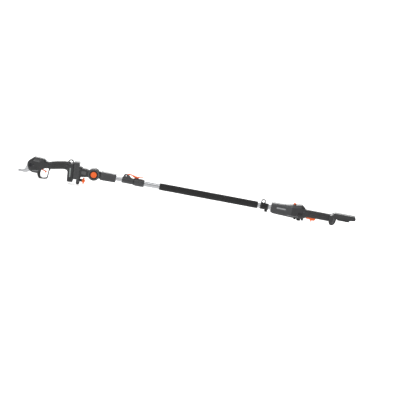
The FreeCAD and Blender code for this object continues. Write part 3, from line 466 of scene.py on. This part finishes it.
def panel(name, tree, corners, side, height, finish, body, squareness=6.0, sink=0.3):
    """A raised moulding with round corners that follows the side of a housing. The corners are four (x, z)
    points, the rim sinks into the housing, and a higher squareness gives sharper corners."""
    (ax, az), (bx, bz), (cx, cz), (dx, dz) = corners
    steps = [-1.0, -0.985, -0.955] + [-0.9 + 0.1 * i for i in range(19)] + [0.955, 0.985, 1.0]
    shape = bmesh.new()
    rows = []
    for u in steps:
        row = []
        for v in steps:
            s = (1.0 + u * math.sqrt(1.0 - v * v / squareness)) / 2.0
            t = (1.0 + v * math.sqrt(1.0 - u * u / squareness)) / 2.0
            x = (1 - t) * ((1 - s) * ax + s * bx) + t * ((1 - s) * dx + s * cx)
            z = (1 - t) * ((1 - s) * az + s * bz) + t * ((1 - s) * dz + s * cz)
            rim = max(abs(u), abs(v))
            lift = -sink if rim > 0.99 else (0.7 * height if rim > 0.97 else height)
            point = outside_at(tree, x, z, side) + Vector((0.0, side * lift * MM, 0.0))
            row.append(shape.verts.new(point))
        rows.append(row)
    for near, far in zip(rows, rows[1:]):
        for i in range(1, len(near)):
            shape.faces.new((near[i - 1], near[i], far[i], far[i - 1]))
    return piece(name, shape, finish, body)


def wrapped(tree, stations, angles, middle_z, lift, thickness):
    """A sleeve that follows a symmetric CAD surface all round, with its own thickness inwards. Where the
    surface is cut away, so is the sleeve."""
    too_near = 0.006
    shape = bmesh.new()
    rows = []
    inner = {}
    for x in stations:
        middle = spot(x, 0.0, middle_z(x))
        row = []
        for angle in angles:
            out = Vector((0.0, math.cos(angle), math.sin(angle)))
            aim = Vector((0.0, abs(out.y), out.z))
            hit = tree.ray_cast(middle + aim * (FAR_OUT * MM), -aim)[0]
            if hit is None or (hit - middle).dot(aim) < too_near:
                row.append(None)
                continue
            reach = (hit - middle).length + lift(x, angle) * MM
            point = shape.verts.new(middle + out * reach)
            inner[point] = shape.verts.new(middle + out * (reach - thickness * MM))
            row.append(point)
        rows.append(row)
    for near, far in zip(rows, rows[1:]):
        for i in range(len(angles)):
            corners = (near[i - 1], near[i], far[i], far[i - 1])
            if all(corners):
                shape.faces.new(corners)
                shape.faces.new([inner[corner] for corner in reversed(corners)])
    rims = [e for e in shape.edges if len(e.link_faces) == 1 and e.verts[0] in inner and e.verts[1] in inner]
    for edge in rims:
        first, last = edge.verts
        shape.faces.new((first, last, inner[last], inner[first]))
    for loose in [v for v in shape.verts if not v.link_faces]:
        shape.verts.remove(loose)
    return shape


def fade(x, low, high, over):
    """0 outside low to high, and 1 inside it, with ends that rise smoothly."""
    near = max(0.0, min(1.0, min(x - low, high - x) / over))
    return near * near * (3.0 - 2.0 * near)


# ---- soft pieces -----------------------------------------------------------------------------------------

def build_foam_grip():
    """The long foam sleeve: rolled ends, soft hollows where hands have squeezed it, and an open-pored skin."""
    start, end = stations_of("foam_grip")
    outer = (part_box("foam_grip")[1].z - POLE_Z) / MM
    tube = (POLE_HIGH.z - POLE_Z) / MM
    length = end - start
    bend, step = 3.2, 2.2
    roll = [(bend * (1.0 - math.cos(a)), outer - bend * (1.0 - math.sin(a)))
            for a in (0.0, 0.3, 0.6, 0.9, 1.2, 1.57)]
    flat = [(6.0 + step * i, outer) for i in range(int((length - 12.0) / step) + 1)]
    back = [(length - d, r) for d, r in reversed(roll)]
    outline = [(0.0, tube + 0.1)] + roll + flat + back + [(length, tube + 0.1)]

    def squeezed(d, r, angle):
        if r < tube + 1.0:
            return d, r
        c, s = math.cos(angle), math.sin(angle)
        pores = 0.16 * noise.noise(Vector((d * 0.55, 9.0 * c, 9.0 * s)))
        hollow = 0.45 * noise.noise(Vector((d * 0.02, 1.6 * c, 1.6 * s)))
        rims = 0.7 * (math.exp(-((d - 7.0) / 2.2) ** 2) + math.exp(-((length - 7.0 - d) / 2.2) ** 2))
        return d, r + pores + min(0.1, hollow) - rims

    shape = turned(outline, (start, 0.0, 0.0), ALONG, 80, squeezed)
    made = piece("foam_sleeve", shape, FOAM, "rear_pole")
    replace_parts(made, "foam_grip")


def build_grips():
    """The two overmoulded handles, with raised chevron ribs on both sides and a plain palm strip on top."""
    slot_edge = math.atan2(19.6, 8.15)  # the rims of the trigger's slot
    angles = sorted([2.0 * math.pi * (i + 0.5) / 96 for i in range(96)]
                    + [2.0 * math.pi - slot_edge, math.pi + slot_edge])
    for name, node, body, pitch, middle_z in (
        ("pruner_overmould", "pruner_grip_sleeve", "pruner", 5.0, lambda x: 6.2 + 0.1875 * (x - 178.0)),
        ("rear_overmould", "rear_grip_sleeve", "rear_pole", 5.6, lambda x: 4.0),
    ):
        start, end = stations_of(node)
        steps = int((end - start) / 0.9)
        stations = [start + 0.05 + (end - start - 0.1) * i / steps for i in range(steps + 1)]

        def ribs(x, angle, low=start, high=end, pitch=pitch):
            side = fade(math.sin(angle), -1.05, 0.72, 0.22)
            wave = math.sin(2.0 * math.pi * (x + 7.0 * math.sin(angle)) / pitch)
            return 0.05 + 0.62 * fade(x, low + 4.0, high - 4.0, 7.0) * side * max(0.0, wave) ** 0.6

        shape = wrapped(surface_of(node), stations, angles, middle_z, ribs, 1.7)
        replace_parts(piece(name, shape, GRIP, body), node)


def build_rest_pads():
    """Three ribbed rubber feet under the rear housing."""
    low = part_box("rest_pads")[0]
    deepest = (low.z - POLE_Z) / MM
    half = -low.y / MM
    shape = bmesh.new()
    for start, end, rise in ((1487.0, 1500.0, 3.5), (1504.0, 1524.0, 0.0), (1528.0, 1539.0, 4.0)):
        rings = []
        for i in range(49):
            share = i / 48.0
            x = start + (end - start) * share
            tip = 1.0 - fade(share, 0.0, 1.0, 0.14)
            groove = 0.9 * max(0.0, math.sin(2.0 * math.pi * (x - start) / 3.4)) ** 0.7
            bottom = deepest + rise + groove + 1.6 * tip
            width = half - 0.8 * tip
            loop = [(-width, -24.0), (-width, bottom + 2.6), (1.0 - width, bottom + 0.8), (2.6 - width, bottom),
                    (width - 2.6, bottom), (width - 1.0, bottom + 0.8), (width, bottom + 2.6), (width, -24.0)]
            rings.append([spot(x, y, z) for y, z in loop])
        skin(rings, False, shape)
    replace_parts(piece("ribbed_feet", shape, PAD, "rear_pole"), "rest_pads")


def build_springs():
    """The four return springs, wound as round wire."""
    for node, body, joint, foot, axis, radius, wire, length, held, keep in SPRINGS:
        start, along = spot(*foot), Vector(axis)
        side = along.orthogonal().normalized()
        other = along.cross(side)
        rings = []
        for i in range(SPRING_TURNS * TURN_STEPS + 1):
            angle = 2.0 * math.pi * i / TURN_STEPS
            climb = wire + (length - 2.0 * wire) * i / (SPRING_TURNS * TURN_STEPS)
            out = math.cos(angle) * side + math.sin(angle) * other
            centre = start + (climb * along + radius * out) * MM
            rings.append([centre + (math.cos(a) * out + math.sin(a) * along) * wire * MM
                          for a in [math.pi * k / 4 for k in range(8)]])
        made = piece(node.replace("spring", "coil"), skin(rings), INSIDE, body)
        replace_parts(made, node)
        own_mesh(made)


# ---- hard details ----------------------------------------------------------------------------------------

def build_hub_details():
    """Rings on the near face of the angle joint, a scale of index bars, rings on the release button, and the
    ribbed back cap."""
    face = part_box("hub_upper")[0].y / MM
    centre = (HUB_X, face, 0.0)
    bezel = [(-0.4, 16.6), (0.9, 16.9), (1.1, 17.6), (1.1, 19.6), (0.7, 20.8), (-0.4, 21.2)]
    piece("button_bezel", turned(bezel, centre, NEAR_SIDE), TRIM, "tool_mount")
    rim = [(-0.6, 23.2), (0.5, 23.6), (0.8, 24.2), (0.8, 29.6), (0.3, 30.8), (-1.2, 31.7),
           (-6.0, 31.9), (-6.0, 31.2), (-0.6, 30.6)]
    piece("hub_rim", turned(rim, centre, NEAR_SIDE, 120), PANEL, "tool_mount")

    shape = bmesh.new()
    for i in range(11):
        angle = math.radians(-75.0 + 15.0 * i)
        long_bar = 4.4 if i in (0, 5, 10) else 2.6
        reach = 29.2 - long_bar / 2.0
        place = (HUB_X + reach * math.cos(angle), face - 0.9, reach * math.sin(angle))
        bar(place, (long_bar, 0.6, 0.8), -math.degrees(angle), 0.15, shape)
    piece("angle_scale", shape, PLATE, "tool_mount")

    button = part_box("angle_button")[0].y / MM
    dome = 60.0
    shape = bmesh.new()
    for radius in (5.0, 8.5, 12.0):
        dish = 1.5 - (dome - math.sqrt(dome * dome - radius * radius))
        ring = [(-0.2, radius - 0.8), (0.35, radius - 0.4), (0.35, radius + 0.4), (-0.2, radius + 0.8)]
        turned(ring, (HUB_X, button + dish, 0.0), NEAR_SIDE, 72, shape=shape)
    piece("button_rings", shape, CONTROL, "angle_lock")

    def ribbed(d, r, angle):
        raised = 0.6 * max(0.0, math.cos(16.0 * angle)) if d > 0.3 and 7.0 < r < 14.5 else 0.0
        return d + raised, r

    cap = [(-0.3, 0.0), (0.5, 0.0), (0.5, 5.4), (-0.1, 6.0), (0.4, 7.2), (0.4, 14.2), (0.8, 15.0),
           (0.8, 16.4), (-0.3, 17.2)]
    back = (HUB_X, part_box("hub_back_cap")[1].y / MM, 0.0)
    piece("back_cap_ribs", turned(cap, back, FAR_SIDE, 192, ribbed), TRIM, "front_pole")


def build_pole_details():
    """The raised end band of the coupling sleeve, the ribbed clamp collar with a seal ring before it, and bands
    on the harness collar."""
    end = stations_of("coupling_sleeve")[1]
    angles = [2.0 * math.pi * (i + 0.5) / 120 for i in range(120)]
    stations = [end - 9.0 + 0.7 * i for i in range(13)]

    def swell(x, angle):
        return 0.1 + 0.45 * fade(x, end - 9.0, end - 0.6, 1.2)

    band = wrapped(surface_of("coupling_sleeve"), stations, angles, lambda x: 0.0, swell, 1.0)
    piece("sleeve_end_band", band, POLE_FITTING, "front_pole")

    start = stations_of("clamp_collar")[0]
    collar = (start, 0.0, 0.0)
    radius = (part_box("clamp_collar")[1].z - POLE_Z) / MM

    def ribs(d, r, angle):
        if r <= radius - 0.1:
            return d, r
        return d, r + 0.7 * max(0.0, math.cos(26.0 * angle)) ** 0.5 * fade(d, 7.0, 47.0, 3.0)

    outer = [(6.5 + 1.0 * i, radius + 0.12) for i in range(42)]
    outline = [(6.5, radius - 0.6)] + outer + [(47.5, radius - 0.6)]
    piece("collar_ribs", turned(outline, collar, ALONG, 416, ribs), POLE_FITTING, "rear_pole")
    seal = [(-3.0, 16.4), (-2.6, 18.4), (-0.4, 18.4), (0.2, 16.4)]
    piece("clamp_seal_ring", turned(seal, collar, ALONG), TRIM, "rear_pole")

    start, end = stations_of("harness_collar")
    radius = -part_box("harness_collar")[0].y / MM
    ring = [(-2.0, radius - 0.4), (-1.5, radius + 0.5), (-0.8, radius + 0.8), (0.8, radius + 0.8),
            (1.5, radius + 0.5), (2.0, radius - 0.4)]
    shape = bmesh.new()
    for x in (start + 3.0, end - 3.0):
        turned(ring, (x, 0.0, 0.0), ALONG, shape=shape)
    piece("harness_bands", shape, PANEL, "harness_mount")


def build_pruner_details():
    """The pivot washer and the small stop screw beside it, louvres and a lighter facet, a painted highlight, on
    both sides of the head, and the charge lights."""
    low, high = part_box("blade_pivot_bolt")
    pivot = (station((low.x + high.x) / 2), -22.6, ((low.z + high.z) / 2 - POLE_Z) / MM)
    washer = [(-0.5, 5.7), (0.6, 5.9), (0.9, 6.4), (0.9, 8.2), (0.5, 8.9), (-0.8, 9.2)]
    screw = [(-1.0, 0.0), (1.1, 0.0), (0.4, 1.0), (1.1, 1.3), (0.9, 3.2), (-1.0, 3.7)]
    shape = bmesh.new()
    turned(washer, pivot, NEAR_SIDE, 72, shape=shape)
    turned(screw, (83.0, -23.6, -3.5), NEAR_SIDE, 48, shape=shape)
    piece("pivot_washer", shape, BLACKENED, "pruner")

    head = surface_of("pruner_shell_right")
    for name, side in (("left", -1), ("right", 1)):
        # The louvres are pale: a painted highlight low on the head.
        for i in range(6):
            x, z = 84.5 + 5.2 * i, -41.0 + 0.9 * i
            corners = ((x, z), (x + 2.8, z), (x + 2.8, z + 7.5), (x, z + 7.5))
            panel("louvre_%s_%d" % (name, i + 1), head, corners, side, 0.8, PLATE, "pruner", 4.0)
        # The lighter facet is a painted highlight on the upper side of the head.
        corners = ((78.0, 15.5), (115.5, 12.5), (113.5, 23.5), (84.0, 25.0))
        panel("head_highlight_" + name, head, corners, side, 0.5, FACET_HIGHLIGHT, "pruner")

    low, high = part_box("charge_indicator")
    middle = ((station(low.x) + station(high.x)) / 2, low.y / MM, ((low.z + high.z) / 2 - POLE_Z) / MM)
    tilt = math.radians(RAIL_LEAN)
    lens = [(-0.3, 0.0), (0.55, 0.0), (0.45, 1.0), (0.1, 1.7), (-0.3, 1.9)]
    shape = bmesh.new()
    for i in range(4):
        step = (i - 1.5) * 10.0
        place = (middle[0] - step * math.sin(tilt), middle[1], middle[2] + step * math.cos(tilt))
        turned(lens, place, NEAR_SIDE, 36, shape=shape)
    piece("charge_lights", shape, LED, "pruner")


def build_adapter_details():
    """A lighter facet on each side of the neck: a painted highlight."""
    neck = surface_of("adapter_back_shell")
    # Painted highlight: a lighter facet on each side of the neck.
    corners = ((340.0, -10.0), (366.0, -10.0), (366.0, 10.0), (340.0, 10.0))
    for name, side in (("left", -1), ("right", 1)):
        panel("neck_highlight_" + name, neck, corners, side, 0.6, FACET_HIGHLIGHT, "tool_mount")


def build_rear_details():
    """A blank name plate and its frame, vents, the lock button's bezel, a painted highlight on the battery bay,
    and the blades of its contacts."""
    shell = surface_of("rear_shell_right")
    frame_corners = ((1386.0, 0.0), (1444.0, 0.0), (1444.0, 16.0), (1386.0, 16.0))
    plate_corners = ((1390.0, 4.5), (1439.0, 4.5), (1439.0, 12.0), (1390.0, 12.0))
    lower_highlight_corners = ((1448.0, -21.0), (1512.0, -20.5), (1512.0, -18.5), (1448.0, -19.0))
    bay_highlight_corners = ((1688.0, -20.0), (1696.0, -20.0), (1704.0, 9.0), (1696.0, 9.0))
    for name, side in (("left", -1), ("right", 1)):
        panel("plate_frame_" + name, shell, frame_corners, side, 0.6, PANEL, "rear_pole")
        panel("name_plate_" + name, shell, plate_corners, side, 1.0, PLATE, "rear_pole", 9.0, 0.0)
        # A pale strip along the lower edge of the housing: a painted highlight.
        panel("lower_edge_highlight_" + name, shell, lower_highlight_corners, side, 0.5, PLATE, "rear_pole")
        for i in range(5):
            x = 1507.0 + 5.0 * i
            corners = ((x, -8.0), (x + 2.6, -8.0), (x + 2.6, 5.0), (x, 5.0))
            panel("vent_%s_%d" % (name, i + 1), shell, corners, side, 0.8, TRIM, "rear_pole",
                  4.0)
        # A lighter band on the battery bay's wall: a painted highlight.
        panel("bay_edge_highlight_" + name, shell, bay_highlight_corners, side, 0.8, PANEL, "rear_pole")

    low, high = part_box("lock_button")
    middle = (station(low.x) + station(high.x)) / 2
    opening, seat = 6.3, 9.6
    shells = surface_of("rear_shell_left", "rear_shell_right")
    loops = []
    for grow, lift in ((0.5, -0.8), (0.5, 1.0), (1.0, 1.5), (2.2, 1.5), (2.8, 0.9), (3.2, -0.8)):
        loop = []
        for i in range(48):
            angle = 2.0 * math.pi * i / 48
            c, s = math.cos(angle), math.sin(angle)
            square = (abs(c) ** 5 + abs(s) ** 5) ** -0.2
            above = spot(middle + seat * square * c, seat * square * s, FAR_OUT)
            hit = shells.ray_cast(above, -Vector(UP))[0]
            point = spot(middle + (opening + grow) * square * c, (opening + grow) * square * s, 0.0)
            point.z = hit.z + lift * MM
            loop.append(point)
        loops.append(loop)
    piece("lock_button_bezel", skin(loops, True), TRIM, "rear_pole")

    low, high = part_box("battery_contacts")
    shape = bmesh.new()
    for y in (-6.0, -2.0, 2.0, 6.0):
        place = (station(high.x) - 11.0, y, (low.z - POLE_Z) / MM + 1.9)
        bar(place, (19.0, 0.5, 3.6), 0.0, 0.15, shape)
    piece("battery_blades", shape, GOLD, "rear_pole")


# ---- stage -----------------------------------------------------------------------------------------------

def build_stage():
    """A pale floor under the tool, soft light from above and a bright room."""
    floor_mesh = bmesh.new()
    bmesh.ops.create_grid(floor_mesh, x_segments=2, y_segments=2, size=90.0)
    mesh = bpy.data.meshes.new("floor")
    floor_mesh.to_mesh(mesh)
    floor_mesh.free()
    floor = bpy.data.objects.new("floor", mesh)
    bpy.context.scene.collection.objects.link(floor)
    f = Finish("pale_floor")
    shade = f.blend(f.noise(3.0, 2.0), (0.90, 0.90, 0.90, 1.0), (0.93, 0.93, 0.93, 1.0))
    grain = f.bump(f.noise(400.0), 0.02 * MM)
    mesh.materials.append(f.finish(shade, 0.9, grain, Emission_Color=WHITE, Emission_Strength=FLOOR_GLOW))

    room = bpy.data.worlds.new("room")
    room.use_nodes = True
    room.node_tree.nodes["Background"].inputs["Color"].default_value = WHITE
    room.node_tree.nodes["Background"].inputs["Strength"].default_value = ROOM_LIGHT
    bpy.context.scene.world = room

    for name, strength, spread, tilt, turn in SUNS:
        light = bpy.data.lights.new(name, "SUN")
        light.energy = strength
        light.angle = math.radians(spread)
        lamp = bpy.data.objects.new(name, light)
        lamp.rotation_euler = (math.radians(tilt), 0.0, math.radians(turn))
        bpy.context.scene.collection.objects.link(lamp)


def build_camera():
    """A long lens, raised a little and rolled so that the pole falls to the right."""
    target = (cad_low + cad_high) / 2 + VIEW_SHIFT
    forward = Vector((0.0, math.cos(VIEW_ELEVATION), -math.sin(VIEW_ELEVATION)))
    upright = Vector((0.0, math.sin(VIEW_ELEVATION), math.cos(VIEW_ELEVATION)))
    level = Vector((1.0, 0.0, 0.0))
    right = math.cos(VIEW_ROLL) * level + math.sin(VIEW_ROLL) * upright
    up = math.cos(VIEW_ROLL) * upright - math.sin(VIEW_ROLL) * level
    lens = bpy.data.cameras.new("camera")
    lens.sensor_width = SENSOR
    lens.lens = SENSOR * VIEW_DISTANCE / VIEW_WIDTH
    lens.clip_end = 400.0
    camera = bpy.data.objects.new("camera", lens)
    turn = Matrix((right, up, -forward)).transposed()
    camera.matrix_world = Matrix.Translation(target - forward * VIEW_DISTANCE) @ turn.to_4x4()
    bpy.context.scene.collection.objects.link(camera)
    bpy.context.scene.camera = camera
    bpy.context.scene.view_settings.view_transform = "Standard"


# ---- build -----------------------------------------------------------------------------------------------

finish_cad_nodes()
build_foam_grip()
build_grips()
build_rest_pads()
build_springs()
build_hub_details()
build_pole_details()
build_pruner_details()
build_adapter_details()
build_rear_details()
build_stage()
build_camera()
